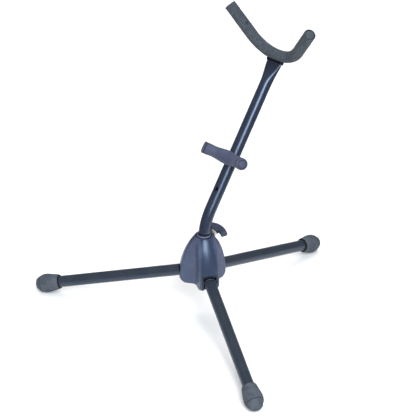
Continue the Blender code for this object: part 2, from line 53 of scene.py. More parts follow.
# Driving sizes, in millimetres and degrees. Most are the solid model's.
TUBE_R, TUBE_WALL = 8.0, 1.2
LEG_PITCH, PIVOT_R, PIVOT_Z = 15.16, 21.0, 69.06
LEGS = {"front": 0.0, "left": 120.0, "right": -120.0}
FOOT_MOUTH, FOOT_LENGTH = 194.5, 33.5
HUB_BOTTOM, HUB_TOP, HUB_COLLAR_R = 53.9, 125.5, 12.4
HUB_SPINE_R, HUB_SPINE_Z, HUB_HALF = 34.5, 61.0, 13.7
NOSE_ROUND, NOSE_TURN = 19.0, radians(38)
HUB_CORNER, HUB_TOP_ROUND, NECK_Z, BELOW_HUB = 8.0, 1.2, 112.0, HUB_BOTTOM - 12
PEG_HOLE_R, SCREW_HOLE_R, NUT_POCKET_R, PIN_BORE_R, ROD_BORE_R = 3.3, 3.3, 6.2, 2.35, 4.3
SOCKET_R, SOCKET_FLOOR = 10.2, 86.0
MOUTH_HALF, MOUTH_R, MOUTH_TOP, SLOT_HALF, ROOT_R = 10.7, 31.0, 79.2, 8.5, 11.6
LEAN, BEND_Z, BEND_R = 34.8, 141.8, 73.6
YOKE_ALONG, YOKE_OFFSET, FLARE_OFFSET = 248.4, 1.0, 0.5
REST_ALONG, SPARE_ALONG = 95.9, 51.0
TOP_HALF_WIDTH, TOP_HALF_THICK, FLARE_LENGTH = 13.0, 2.7, 38.0
YOKE_TILT, YOKE_ARC_R, YOKE_ARC_HALF, YOKE_ARM, FOAM_R = 18.0, 50.9, 53.7, 49.8, 8.0
REST_HEIGHT, REST_ARC_R, REST_ARC_HALF = 13.4, 64.8, 33.3
SCREW_RISE, SCREW_Z, SCREW_R = 21.0, 115.0, 2.95
NUT_SEAT, KNOB_NEAR, WING_APEX, WING_ARC_R, WING_SPAN, WING_TURN = 16.4, 22.2, 28.9, 30.0, 35.0, -1.0

ROUND = 64
ON_AXIS = 1e-6
# Painted shade: the near-black that crease masks mix into recesses, grooves, gaps and the foam's nick.
PAINTED_SHADE = (0.008, 0.010, 0.016)
BLUE_GLINT = (0.60, 0.75, 1.0)
CAMERA_TURN = radians(46.646)


# --- Placement ---


def spin_about(axis, degrees):
    return Matrix.Rotation(radians(degrees), 4, axis)


def shift(x, y, z):
    return Matrix.Translation((x, y, z))


lean = radians(LEAN)
ALONG = Vector((sin(lean), 0, cos(lean)))
TOWARD_SAX = Vector((-cos(lean), 0, sin(lean)))
BEND = Vector((0, 0, BEND_Z))

HUB_FRAME = shift(HUB_X, 0, 0)
REST_FRAME = HUB_FRAME @ Matrix.Translation(BEND + ALONG * REST_ALONG) @ spin_about("Y", LEAN - 90)
SPARE_FRAME = HUB_FRAME @ Matrix.Translation(BEND + ALONG * SPARE_ALONG) @ spin_about("Y", LEAN - 90)
yoke_centre = BEND + ALONG * YOKE_ALONG + TOWARD_SAX * YOKE_OFFSET
YOKE_FRAME = HUB_FRAME @ Matrix.Translation(yoke_centre) @ spin_about("Y", -YOKE_TILT)
flare_end = BEND + ALONG * YOKE_ALONG + TOWARD_SAX * FLARE_OFFSET
YOKE_ROOT = HUB_FRAME @ Matrix.Translation(flare_end) @ spin_about("Y", LEAN)
SCREW_FRAME = HUB_FRAME @ shift(0, 0, SCREW_Z) @ spin_about("Y", 90 - SCREW_RISE)
KNOB_FRAME = SCREW_FRAME @ spin_about("Z", WING_TURN)


def leg_frame(azimuth):
    pivot = shift(PIVOT_R * cos(radians(azimuth)), PIVOT_R * sin(radians(azimuth)), PIVOT_Z)
    return HUB_FRAME @ pivot @ spin_about("Z", azimuth) @ spin_about("Y", LEG_PITCH)


# --- Mesh building ---


def smoothstep(x):
    x = min(max(x, 0.0), 1.0)
    return x * x * (3 - 2 * x)


def turn(count):
    """Equal steps round a full turn, in radians."""
    return [2 * pi * i / count for i in range(count)]


def arc(centre, radius, start, end, count):
    """Points (x, y) along an arc, angles in degrees."""
    angles = [radians(start + (end - start) * i / (count - 1)) for i in range(count)]
    return [(centre[0] + radius * cos(a), centre[1] + radius * sin(a)) for a in angles]


def rounded(points, radius):
    """An open (x, y) outline with its inner corners rounded, each by at most 0.45 of its shorter side."""
    steps = 4
    out = [points[0]]
    for before, corner, after in zip(points, points[1:], points[2:]):
        a, b, c = Vector(before), Vector(corner), Vector(after)
        reach = min(radius, (a - b).length * 0.45, (c - b).length * 0.45)
        start, end = b + (a - b).normalized() * reach, b + (c - b).normalized() * reach
        for i in range(steps + 1):
            t = i / steps
            point = start * (1 - t) ** 2 + b * 2 * t * (1 - t) + end * t**2
            out.append((point.x, point.y))
    out.append(points[-1])
    return out


def mesh_of_rings(rings, cap=False, loop=False):
    """A skin over rings of points. A ring may be a single point, as at a pole."""
    bm = bmesh.new()
    made = [[bm.verts.new(p) for p in ring] for ring in rings]
    pairs = list(zip(made, made[1:]))
    if loop:
        pairs.append((made[-1], made[0]))
    for low, high in pairs:
        count = max(len(low), len(high))
        for i in range(count):
            j = (i + 1) % count
            corners = []
            for ring, index in ((low, i), (low, j), (high, j), (high, i)):
                vertex = ring[index] if len(ring) > 1 else ring[0]
                if vertex not in corners:
                    corners.append(vertex)
            if len(corners) > 2:
                bm.faces.new(corners)
    if cap:
        bm.faces.new(made[0])
        bm.faces.new(made[-1])
    bmesh.ops.recalc_face_normals(bm, faces=bm.faces)
    mesh = bpy.data.meshes.new("mesh")
    bm.to_mesh(mesh)
    bm.free()
    return mesh


def put(name, mesh, place, shown=True):
    """An object from a mesh in mm and a placement in mm. The mesh ends up in metres in the row's frame."""
    mesh.transform(Matrix.Scale(MM, 4) @ place)
    mesh.name = name
    obj = bpy.data.objects.new(name, mesh)
    bpy.context.scene.collection.objects.link(obj)
    obj.hide_render = not shown
    obj.hide_viewport = not shown
    return obj


def cutter(mesh, place):
    """A hidden object for a boolean."""
    return put("cut", mesh, place, shown=False)


def lathe(profile, sides=ROUND):
    """A closed solid turned about Z from (radius, height) points, which end on the axis or loop."""
    rings = []
    for r, z in profile:
        rings.append([(0, 0, z)] if r < ON_AXIS else [(r * cos(a), r * sin(a), z) for a in turn(sides)])
    return mesh_of_rings(rings, loop=profile[0][0] > ON_AXIS)


def cylinder(radius, low, high, sides=ROUND):
    return lathe([(0, low), (radius, low), (radius, high), (0, high)], sides)


def box(low, high):
    x0, y0, z0 = low
    x1, y1, z1 = high
    rings = [[(x0, y0, z), (x1, y0, z), (x1, y1, z), (x0, y1, z)] for z in (z0, z1)]
    return mesh_of_rings(rings, cap=True)


def boolean(obj, cutters, operation="DIFFERENCE"):
    """Applies cutters in turn, and takes them out of the scene."""
    for tool in cutters:
        change = obj.modifiers.new("Boolean", "BOOLEAN")
        change.operation = operation
        change.solver = "EXACT"
        change.object = tool
    bake(obj)
    for tool in cutters:
        bpy.data.objects.remove(tool)


def bake(obj):
    """The object's modifiers become its mesh."""
    bpy.context.view_layer.update()
    graph = bpy.context.evaluated_depsgraph_get()
    mesh = bpy.data.meshes.new_from_object(obj.evaluated_get(graph))
    obj.modifiers.clear()
    old = obj.data
    obj.data = mesh
    bpy.data.meshes.remove(old)
    mesh.name = obj.name


def soften(obj, width, angle=38, segments=2):
    """Rounds every edge sharper than the angle, by a width in mm."""
    weld = obj.modifiers.new("Weld", "WELD")
    weld.merge_threshold = 0.00002
    edge = obj.modifiers.new("Edge", "BEVEL")
    edge.width = width * MM
    edge.segments = segments
    edge.limit_method = "ANGLE"
    edge.angle_limit = radians(angle)
    edge.use_clamp_overlap = True
    bake(obj)


def mark(obj, place, share, mask="crease"):
    """Stores a mask on the mesh: 0 to 1 for each of its points, given in mm in the piece's own placement."""
    back = (Matrix.Scale(MM, 4) @ place).inverted()
    layer = obj.data.attributes.new(mask, "FLOAT", "POINT")
    for vertex in obj.data.vertices:
        layer.data[vertex.index].value = share(back @ vertex.co)


def finish_piece(obj, body, finish, stands_for=(), sharp=40):
    """Shades a piece, gives it its material, and hangs it on its body."""
    obj.data.shade_smooth()
    obj.data.set_sharp_from_angle(angle=radians(sharp))
    obj.data.materials.clear()
    obj.data.materials.append(finish)
    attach(obj, body)
    if stands_for:
        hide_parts(*stands_for)


# --- Materials ---


class Finish:
    """A Principled material whose colour, roughness and relief all vary over the surface."""

    def __init__(self, name, colour, roughness, metallic=0.0, specular=0.5):
        self.material = bpy.data.materials.new(name)
        self.material.use_nodes = True
        self.tree = self.material.node_tree
        self.shader = self.tree.nodes["Principled BSDF"]
        self.shader.inputs["Metallic"].default_value = metallic
        self.shader.inputs["Specular IOR Level"].default_value = specular
        self.place = self.tree.nodes.new("ShaderNodeTexCoord").outputs["Object"]
        self.height = None
        self.colour = colour
        self.shader.inputs["Roughness"].default_value = roughness

    def noise(self, scale, detail=3, roughness=0.5, distortion=0.0):
        """Noise with features of about 1 / scale metres."""
        node = self.tree.nodes.new("ShaderNodeTexNoise")
        node.inputs["Scale"].default_value = scale
        node.inputs["Detail"].default_value = detail
        node.inputs["Roughness"].default_value = roughness
        node.inputs["Distortion"].default_value = distortion
        self.tree.links.new(self.place, node.inputs["Vector"])
        return node.outputs["Fac"]

    def cells(self, scale):
        node = self.tree.nodes.new("ShaderNodeTexVoronoi")
        node.inputs["Scale"].default_value = scale
        self.tree.links.new(self.place, node.inputs["Vector"])
        return node.outputs["Distance"]

    def ramp(self, value, low, high, to_low=0.0, to_high=1.0):
        node = self.tree.nodes.new("ShaderNodeMapRange")
        node.interpolation_type = "SMOOTHSTEP"
        node.inputs["From Min"].default_value = low
        node.inputs["From Max"].default_value = high
        node.inputs["To Min"].default_value = to_low
        node.inputs["To Max"].default_value = to_high
        self.tree.links.new(value, node.inputs["Value"])
        return node.outputs["Result"]

    def mask(self, name):
        """A mask that is stored on the mesh."""
        node = self.tree.nodes.new("ShaderNodeAttribute")
        node.attribute_name = name
        return node.outputs["Fac"]

    def tint(self, mask, colour, amount):
        """Mixes a colour in where the mask is 1."""
        node = self.tree.nodes.new("ShaderNodeMix")
        node.data_type = "RGBA"
        scaled = self.math("MULTIPLY", mask, amount)
        self.tree.links.new(scaled, node.inputs["Factor"])
        if isinstance(self.colour, tuple):
            node.inputs["A"].default_value = (*self.colour, 1)
        else:
            self.tree.links.new(self.colour, node.inputs["A"])
        node.inputs["B"].default_value = (*colour, 1)
        self.colour = node.outputs["Result"]

    def math(self, operation, first, second):
        node = self.tree.nodes.new("ShaderNodeMath")
        node.operation = operation
        for socket, value in zip(node.inputs, (first, second)):
            if isinstance(value, (int, float)):
                socket.default_value = value
            else:
                self.tree.links.new(value, socket)
        return node.outputs[0]

    def rough(self, value, low, high):
        """Roughness between low and high, as the value goes from 0.3 to 0.7."""
        self.tree.links.new(self.ramp(value, 0.3, 0.7, low, high), self.shader.inputs["Roughness"])

    def relief(self, value, depth):
        """Adds a relief of that depth in mm."""
        scaled = self.math("MULTIPLY", value, depth)
        self.height = scaled if self.height is None else self.math("ADD", self.height, scaled)

    def polish_and_shade(self, colour, roughness):
        """Where the mesh's polish mask is 1: a smoother surface, less relief, and a darker colour painted in
        for the dark reflections there (painted shade).
        """
        share = self.mask("polish_and_shade")
        # Painted shade: the polished areas' darker colour.
        self.tint(share, colour, 0.8)
        smooth = self.ramp(self.noise(140, 3), 0.3, 0.7, roughness, roughness + 0.06)
        blend = self.tree.nodes.new("ShaderNodeMix")
        self.tree.links.new(share, blend.inputs["Factor"])
        self.tree.links.new(self.shader.inputs["Roughness"].links[0].from_socket, blend.inputs["A"])
        self.tree.links.new(smooth, blend.inputs["B"])
        self.tree.links.new(blend.outputs["Result"], self.shader.inputs["Roughness"])
        self.height = self.math("MULTIPLY", self.height, self.ramp(share, 0, 1, 1, 0.25))

    def edges(self, colour, amount):
        """Rubbed, paler convex edges."""
        geometry = self.tree.nodes.new("ShaderNodeNewGeometry")
        worn = self.ramp(geometry.outputs["Pointiness"], 0.52, 0.6)
        broken = self.ramp(self.noise(260, 4), 0.35, 0.6)
        self.tint(self.math("MULTIPLY", worn, broken), colour, amount)

    def paint_shade(self, colour, amount):
        """Painted shade: mixes a near-black in where the mesh's crease mask is 1."""
        self.tint(self.mask("crease"), colour, amount)

    def glint(self, colour):
        """Tints the reflections."""
        self.shader.inputs["Specular Tint"].default_value = (*colour, 1)

    def done(self, sheen=0.0):
        self.tree.links.new(self.colour, self.shader.inputs["Base Color"])
        if self.height is not None:
            bump = self.tree.nodes.new("ShaderNodeBump")
            bump.inputs["Strength"].default_value = 1.0
            bump.inputs["Distance"].default_value = MM
            self.tree.links.new(self.height, bump.inputs["Height"])
            self.tree.links.new(bump.outputs["Normal"], self.shader.inputs["Normal"])
        self.shader.inputs["Sheen Weight"].default_value = sheen
        return self.material


def moulded_plastic(name, colour, pale, roughness=0.42, specular=0.4, polished=None):
    """Grained plastic, with smoother polished areas where the mesh says so, darkened there as painted shade.
    """
    f = Finish(name, colour, roughness, specular=specular)
    f.tint(f.ramp(f.noise(55, 4), 0.35, 0.7), pale, 0.4)
    f.tint(f.ramp(f.noise(34, 4, distortion=0.6), 0.5, 0.66), (pale[0], pale[1] * 0.82, pale[2] * 0.9), 0.35)
    f.tint(f.ramp(f.noise(420, 3), 0.55, 0.4), (colour[0] * 0.6, colour[1] * 0.6, colour[2] * 0.6), 0.4)
    f.tint(f.ramp(f.noise(900, 2), 0.5, 0.75), pale, 0.3)
    f.edges(pale, 0.5)
    f.rough(f.noise(120, 3), roughness - 0.06, roughness + 0.08)
    f.relief(f.noise(1500, 2), 0.03)
    f.relief(f.noise(90, 3), 0.03)
    if polished:
        f.polish_and_shade(*polished)
        f.glint(BLUE_GLINT)
    f.paint_shade(PAINTED_SHADE, 0.9)
    return f.done()


def powder_coat(name, colour, pale, roughness, specular, grain=0.012, wander=0.05):
    f = Finish(name, colour, roughness, specular=specular)
    f.tint(f.ramp(f.noise(35, 4), 0.4, 0.7), pale, 0.35)
    f.tint(f.ramp(f.noise(1400, 1), 0.62, 0.72), pale, 0.5)
    f.edges(pale, 0.4)
    f.rough(f.noise(160, 3), roughness - wander, roughness + wander)
    f.relief(f.noise(900, 2), grain)
    f.glint(BLUE_GLINT)
    f.paint_shade(PAINTED_SHADE, 0.8)
    return f.done()


def foam_material(name):
    f = Finish(name, (0.042, 0.050, 0.061), 0.92, specular=0.2)
    f.tint(f.ramp(f.noise(40, 5, roughness=0.6), 0.38, 0.66), (0.060, 0.070, 0.084), 0.5)
    f.tint(f.ramp(f.noise(520, 3), 0.48, 0.66), (0.12, 0.14, 0.165), 0.4)
    f.tint(f.ramp(f.noise(1100, 2), 0.40, 0.32), (0.012, 0.016, 0.022), 0.7)
    f.rough(f.noise(200, 3), 0.86, 0.97)
    f.relief(f.ramp(f.cells(1300), 0.0, 0.6), 0.12)
    f.relief(f.noise(500, 4), 0.14)
    f.relief(f.noise(70, 3), 0.2)
    f.paint_shade(PAINTED_SHADE, 0.9)
    return f.done(sheen=0.04)


def soft_plastic(name, colour, pale):
    f = Finish(name, colour, 0.6, specular=0.3)
    f.tint(f.ramp(f.noise(60, 4), 0.35, 0.68), pale, 0.5)
    f.tint(f.ramp(f.noise(800, 2), 0.52, 0.72), pale, 0.3)
    f.rough(f.noise(150, 3), 0.52, 0.7)
    f.relief(f.noise(1200, 2), 0.06)
    f.relief(f.noise(120, 3), 0.12)
    f.paint_shade(PAINTED_SHADE, 0.8)
    return f.done(sheen=0.05)


def rubber(name, colour, pale):
    f = Finish(name, colour, 0.8, specular=0.22)
    f.tint(f.ramp(f.noise(80, 4), 0.35, 0.65), pale, 0.5)
    f.tint(f.ramp(f.noise(600, 3), 0.5, 0.7), pale, 0.35)
    f.edges(pale, 0.5)
    f.rough(f.noise(220, 3), 0.7, 0.9)
    f.relief(f.noise(900, 3), 0.1)
    f.relief(f.noise(150, 3), 0.12)
    f.paint_shade(PAINTED_SHADE, 0.6)
    return f.done()


def plated_steel(name):
    f = Finish(name, (0.56, 0.56, 0.51), 0.25, metallic=1.0)
    f.tint(f.ramp(f.noise(180, 3), 0.4, 0.65), (0.30, 0.31, 0.28), 0.6)
    f.tint(f.ramp(f.noise(700, 2), 0.6, 0.7), (0.75, 0.72, 0.6), 0.5)
    f.rough(f.noise(500, 3), 0.22, 0.42)
    f.relief(f.noise(1200, 2), 0.03)
    return f.done()


# Painted shade: the polished noses' darker colour, with their roughness.
HUB_GLOSS_AND_SHADE = ((0.020, 0.030, 0.060), 0.28)
HUB_PLASTIC = moulded_plastic(
    "hub_plastic", (0.047, 0.060, 0.108), (0.082, 0.096, 0.152), 0.48, 0.62, polished=HUB_GLOSS_AND_SHADE
)
BUSH_PLASTIC = moulded_plastic("bush_plastic", (0.12, 0.14, 0.21), (0.17, 0.19, 0.27), 0.36)
# Near black. Painted shade in the collar's groove and the feet's mouths; also the leg cuffs, leg roots and
# the band round the tube.
BLACK_AND_SHADE_PLASTIC = moulded_plastic("black_and_shade_plastic", (0.004, 0.005, 0.007), (0.009, 0.011, 0.015), 0.5, 0.12)
KNOB_PLASTIC = moulded_plastic("knob_plastic", (0.027, 0.037, 0.068), (0.052, 0.062, 0.10), 0.46, 0.35)
CAP_PLASTIC = moulded_plastic("cap_plastic", (0.042, 0.055, 0.067), (0.08, 0.096, 0.114), 0.55, 0.25)
LEG_PAINT = powder_coat("leg_paint", (0.020, 0.026, 0.037), (0.036, 0.042, 0.055), 0.36, 0.6, 0.012, 0.015)
# Below about 0.275, this paint's roughness comes out speckled after denoising.
UPRIGHT_PAINT = powder_coat(
    "upright_paint", (0.014, 0.019, 0.035), (0.024, 0.031, 0.050), 0.29, 0.92, grain=0.001, wander=0.012
)
# Painted shade: near black, so the weld bead reads as the shade under the foam.
WELD_SHADE_PAINT = powder_coat("weld_shade_paint", (0.003, 0.004, 0.006), (0.008, 0.009, 0.012), 0.4, 0.15)
FOAM = foam_material("foam")
REST_RUBBER = soft_plastic("rest_rubber", (0.047, 0.056, 0.100), (0.082, 0.092, 0.145))
FOOT_RUBBER = rubber("foot_rubber", (0.050, 0.062, 0.078), (0.098, 0.112, 0.132))
ZINC = plated_steel("zinc_steel")


# --- Hub ---


def spine_radius(z):
    """Distance of a pod's outer spine from the hub's axis: a long arc, with a rounded lower corner."""
    rise, run = HUB_TOP - HUB_SPINE_Z, HUB_SPINE_R - HUB_COLLAR_R
    long_arc = (rise**2 + run**2) / (2 * run)
    if z < HUB_BOTTOM + HUB_CORNER:
        drop = HUB_BOTTOM + HUB_CORNER - z
        return HUB_SPINE_R - HUB_CORNER + sqrt(max(HUB_CORNER**2 - drop**2, 0))
    return HUB_SPINE_R - long_arc + sqrt(long_arc**2 - max(z - HUB_SPINE_Z, 0) ** 2)


def pod_half_outline(nose, half_width):
    """(along, across) points of half a pod, from the middle of its nose to the valley beside it."""
    corner, fillet = 2.6, 7.0
    face = NOSE_ROUND * sin(NOSE_TURN)
    points = arc((nose - NOSE_ROUND, 0), NOSE_ROUND, 0, NOSE_TURN * 180 / pi, 12)
    reach = face + corner * (1 - sin(NOSE_TURN))
    shrink = half_width / reach
    hinge = nose - NOSE_ROUND + (NOSE_ROUND - corner) * cos(NOSE_TURN)
    points += arc((hinge, face - corner * sin(NOSE_TURN)), corner, NOSE_TURN * 180 / pi, 90, 8)[1:]
    points = [(u, v * shrink) for u, v in points]
    along = (half_width + fillet) * tan(radians(30))
    u, v = points[-1]
    points += [(u + (along - u) * i / 6, v + (half_width - v) * i / 6) for i in range(1, 6)]
    points += arc((along, half_width + fillet), fillet, -90, -120, 9)
    return points


def hub_outline(z):
    """The hub's horizontal outline: pods lower down, blending into a round collar at the top."""
    base = min(z, NECK_Z)
    nose = spine_radius(z)
    scale = nose / spine_radius(base)
    half = [(u * scale, v * scale) for u, v in pod_half_outline(spine_radius(base), HUB_HALF)]
    roundness = smoothstep((z - NECK_Z) / (HUB_TOP - NECK_Z))
    sector = [(u, -v) for u, v in reversed(half)][1:] + half[1:]
    outline = []
    for azimuth in sorted(LEGS.values()):
        for u, v in sector:
            angle = atan2(v, u)
            distance = hypot(u, v)
            distance += (nose - distance) * roundness
            turned = angle + radians(azimuth)
            outline.append(Vector((distance * cos(turned), distance * sin(turned), z)))
    return outline


def hub_rings():
    """The hub's cross-sections, from its bottom face up to the rounded rim of its collar."""
    levels = [HUB_BOTTOM + HUB_CORNER * (1 - cos(radians(a))) for a in range(12, 90, 11)]
    height = HUB_TOP - HUB_TOP_ROUND - HUB_BOTTOM - HUB_CORNER
    levels += [HUB_BOTTOM + HUB_CORNER + height * i / 34 for i in range(35)]
    rings = [hub_outline(z) for z in levels]
    shrink = 0.975
    rings.insert(0, [p * shrink + Vector((0, 0, HUB_BOTTOM - shrink * p.z)) for p in rings[0]])
    top = rings[-1]
    for a in (30, 60, 90):
        inward = HUB_TOP_ROUND * (1 - cos(radians(a))) / HUB_COLLAR_R
        z = HUB_TOP - HUB_TOP_ROUND + HUB_TOP_ROUND * sin(radians(a))
        rings.append([Vector((p.x * (1 - inward), p.y * (1 - inward), z)) for p in top])
    return rings


def leg_cutters(azimuth):
    """Room for one leg: mouth, slot, the tube's way, the root's seat, and the pin's bore and entry."""
    leg, pod = leg_frame(azimuth), HUB_FRAME @ spin_about("Z", azimuth)
    sideways, along = spin_about("X", 90), spin_about("Y", 90)
    slot = box((PIVOT_R - ROOT_R, -SLOT_HALF, BELOW_HUB), (50, SLOT_HALF, PIVOT_Z - 4))
    root = cylinder(ROOT_R, -SLOT_HALF - 0.4, SLOT_HALF + 0.4)
    bore = cylinder(PIN_BORE_R, -SLOT_HALF - 3.2, SLOT_HALF + 3.2, 24)
    half, side = 1.8, SLOT_HALF + 3
    entry = box((PIVOT_R - half, -side, BELOW_HUB), (PIVOT_R + half, side, PIVOT_Z - 1))
    return [
        cutter(rounded_mouth(), pod),
        cutter(slot, pod),
        cutter(cylinder(SLOT_HALF + 0.2, -4, 30), leg @ along),
        cutter(root, leg @ sideways),
        cutter(bore, leg @ sideways),
        cutter(entry, pod),
    ]


def make_hub():
    hub = put("hub_shell_fine", mesh_of_rings(hub_rings(), cap=True), HUB_FRAME)
    cutters = [
        cutter(cylinder(SOCKET_R, SOCKET_FLOOR, HUB_TOP + 5), HUB_FRAME),
        cutter(cylinder(SOCKET_R + 0.7, HUB_TOP - 2.4, HUB_TOP + 5), HUB_FRAME),
        cutter(cylinder(NUT_POCKET_R, NUT_SEAT, 40), SCREW_FRAME),
        cutter(cylinder(SCREW_HOLE_R, 8, 30), SCREW_FRAME),
    ]
    for azimuth in LEGS.values():
        cutters += leg_cutters(azimuth)
    boolean(hub, cutters)
    soften(hub, 0.45)
    mark(hub, HUB_FRAME, nose_share, "polish_and_shade")
    # Painted shade inside the mouths and slots.
    mark(hub, HUB_FRAME, mouth_shade)
    finish_piece(hub, "hub", HUB_PLASTIC, ["hub_shell"])


def make_shade_ring():
    """Painted shade: a black ring filling the groove at the collar's top, where the gap is shaded."""
    outer, inner, low, high, rim = SOCKET_R + 0.6, 9.8, HUB_TOP - 2.0, HUB_TOP + 0.6, 0.3
    profile = [(inner, low), (outer, low), (outer, high - rim), (outer - rim, high), (inner + rim, high)]
    seal = put("hub_shade_ring_fine", lathe(profile + [(inner, high - rim)], 72), HUB_FRAME)
    finish_piece(seal, "hub", BLACK_AND_SHADE_PLASTIC, sharp=60)


def nose_share(point):
    """1 on the polished noses of the pods, 0 on their grained sides."""
    turn = radians(120)
    across = min(abs(((atan2(point.y, point.x) + k * turn + pi) % (2 * pi)) - pi) for k in range(3))
    sideways = hypot(point.x, point.y) * sin(min(across, pi / 2))
    limit = HUB_HALF
    if point.z > HUB_SPINE_Z:
        limit *= spine_radius(min(point.z, NECK_Z)) / HUB_SPINE_R
    return 1 - smoothstep((sideways - limit * 0.93) / 1.2)


def mouth_shade(point):
    """Painted shade: dark inside the pods' mouths and slots."""
    for azimuth in LEGS.values():
        angle = radians(azimuth)
        along = point.x * cos(angle) + point.y * sin(angle)
        across = point.y * cos(angle) - point.x * sin(angle)
        inside = 8 < along < MOUTH_R + 2.2 and abs(across) < MOUTH_HALF + 0.15
        if inside and HUB_BOTTOM + 1 < point.z < MOUTH_TOP + 0.15:
            return 1
    return 0


def rounded_mouth():
    """The recess in a pod's nose round the leg: straight sides and an arched top."""
    corner = 4.5
    half = [(MOUTH_HALF, BELOW_HUB), (MOUTH_HALF, MOUTH_TOP - corner)]
    half += arc((MOUTH_HALF - corner, MOUTH_TOP - corner), corner, 10, 90, 7)
    outline = half + [(-y, z) for y, z in reversed(half)]
    return mesh_of_rings([[(x, y, z) for y, z in outline] for x in (MOUTH_R, 50)], cap=True)


def make_bush():
    """A light sleeve whose neck shows as a ring round the tube."""
    outer, bore = SOCKET_R - GAP, TUBE_R + GAP + 0.1
    neck, groove, neck_top = 9.55, HUB_TOP - 2.2, HUB_TOP + 2.4
    floor = SOCKET_FLOOR + GAP + 2
    profile = [(bore, floor), (outer, floor), (outer, groove - 0.2), (outer - 0.2, groove), (neck, groove)]
    profile.append((neck, neck_top - 0.4))
    rim = 0.3
    for a in (20, 45, 70, 90):
        profile.append((neck - rim + rim * cos(radians(a)), neck_top - rim + rim * sin(radians(a))))
    profile += [(bore + 0.7, neck_top), (bore + 0.6, neck_top - 0.15), (bore, HUB_TOP - 5)]
    bush = put("swivel_bush_fine", lathe(profile, 72), HUB_FRAME)
    finish_piece(bush, "bush", BUSH_PLASTIC, ["swivel_bush"])


# --- Upright ---

TUBE_BOTTOM = 88.8
DARK_BAND = [(128.3, -0.2), (128.3, 0.2), (128.5, 0.35), (129.4, 0.35), (129.6, 0.2), (129.6, -0.2)]
UPRIGHT_TOP = YOKE_ALONG - 4.5
BEND_REACH = BEND_R * tan(lean / 2)
BEND_START = BEND_Z - BEND_REACH


def bend_station(angle):
    """(centre, tangent) in the bend, at an angle from its start."""
    centre = Vector((BEND_R * (1 - cos(angle)), 0, BEND_START + BEND_R * sin(angle)))
    return centre, Vector((sin(angle), 0, cos(angle)))


def upright_stations():
    """(centre, tangent, share of the flare) along the bent tube."""
    stations = [(Vector((0, 0, z)), Vector((0, 0, 1)), 0) for z in (TUBE_BOTTOM, 95, 105, BEND_START)]
    stations += [(*bend_station(lean * i / 24), 0) for i in range(1, 25)]
    straight_end = UPRIGHT_TOP - FLARE_LENGTH
    for i in range(1, 13):
        along = BEND_REACH + (straight_end - BEND_REACH) * i / 12
        stations.append((BEND + ALONG * along, ALONG, 0))
    for i in range(1, 21):
        amount = smoothstep(i / 20)
        along = straight_end + FLARE_LENGTH * i / 20
        centre = BEND + ALONG * along + TOWARD_SAX * FLARE_OFFSET * amount
        stations.append((centre, ALONG, amount))
    return stations


def upright_ring(centre, tangent, amount, inset=0.0):
    """One cross-section of the tube: round, or squeezed flat with fuller ends near the top."""
    side = Vector((0, 1, 0))
    normal = side.cross(tangent).normalized()
    width = TUBE_R + (TOP_HALF_WIDTH - TUBE_R) * amount - inset
    thick = TUBE_R + (TOP_HALF_THICK - TUBE_R) * amount - inset
    power = 1 - 0.28 * amount
    ring = []
    for angle in turn(ROUND):
        c, s = cos(angle), sin(angle)
        across = width * abs(c) ** power * (1 if c > 0 else -1)
        depth = thick * abs(s) ** power * (1 if s > 0 else -1)
        ring.append(centre + side * across + normal * depth)
    return ring


def weld_shade(point):
    """Painted shade: darker paint towards the weld, where the flattened end is shaded by the foam and
    reflects dark.
    """
    darkened, fade = 30, 24
    return smoothstep(((point - BEND).dot(ALONG) - UPRIGHT_TOP + darkened) / fade)


def make_upright():
    stations = upright_stations()
    outer = [upright_ring(*s) for s in stations]
    inner = [upright_ring(*s, inset=TUBE_WALL) for s in reversed(stations)]
    tube = put("upright_tube_fine", mesh_of_rings(outer + inner, loop=True), HUB_FRAME)
    hole = cylinder(PEG_HOLE_R, -12, 12, 40)
    boolean(tube, [cutter(hole.copy(), REST_FRAME), cutter(hole, SPARE_FRAME)])
    soften(tube, 0.25, 50)
    # Painted shade towards the weld.
    mark(tube, HUB_FRAME, weld_shade)
    finish_piece(tube, "upright", UPRIGHT_PAINT, ["upright_tube"], 50)


def make_dark_band():
    """A dark band round the tube just above the bush, following the start of the bend."""
    rings = []
    for height, swell in DARK_BAND:
        centre, tangent = bend_station((height - BEND_START) / BEND_R)
        rings.append(upright_ring(centre, tangent, 0, -swell))
    band = put("upright_dark_band_fine", mesh_of_rings(rings, loop=True), HUB_FRAME)
    finish_piece(band, "upright", BLACK_AND_SHADE_PLASTIC, sharp=60)


# --- Swept pads ---


class Path:
    """A line in its frame's YZ plane: an arc between two straight arms, by length from its middle."""

    def __init__(self, radius, half_angle, arm, lift=0.0):
        self.radius, self.half, self.arm, self.lift = radius, radians(half_angle), arm, lift
        self.arc_length = radius * self.half
        self.reach = self.arc_length + arm

    def at(self, s):
        """(centre, tangent) at s, which is negative on the -Y side."""
        angle = max(-self.half, min(self.half, s / self.radius))
        centre = Vector((0, self.radius * sin(angle), self.lift + self.radius * (1 - cos(angle))))
        tangent = Vector((0, cos(angle), sin(angle)))
        beyond = abs(s) - self.arc_length
        if beyond > 0:
            centre += tangent * beyond * (1 if s > 0 else -1)
        return centre, tangent


def sweep(path, profile, sides, swell):
    """A closed solid: (distance along the path, radius) points, looped, each made a ring round the path."""
    rings = []
    for s, radius in profile:
        centre, tangent = path.at(s)
        across = Vector((1, 0, 0))
        normal = across.cross(tangent).normalized()
        if radius < ON_AXIS:
            rings.append([centre])
            continue
        ring = []
        for angle in turn(sides):
            r = radius + swell(s, angle, radius)
            ring.append(centre + across * r * cos(angle) + normal * r * sin(angle))
        rings.append(ring)
    return mesh_of_rings(rings, loop=profile[0][1] > ON_AXIS)


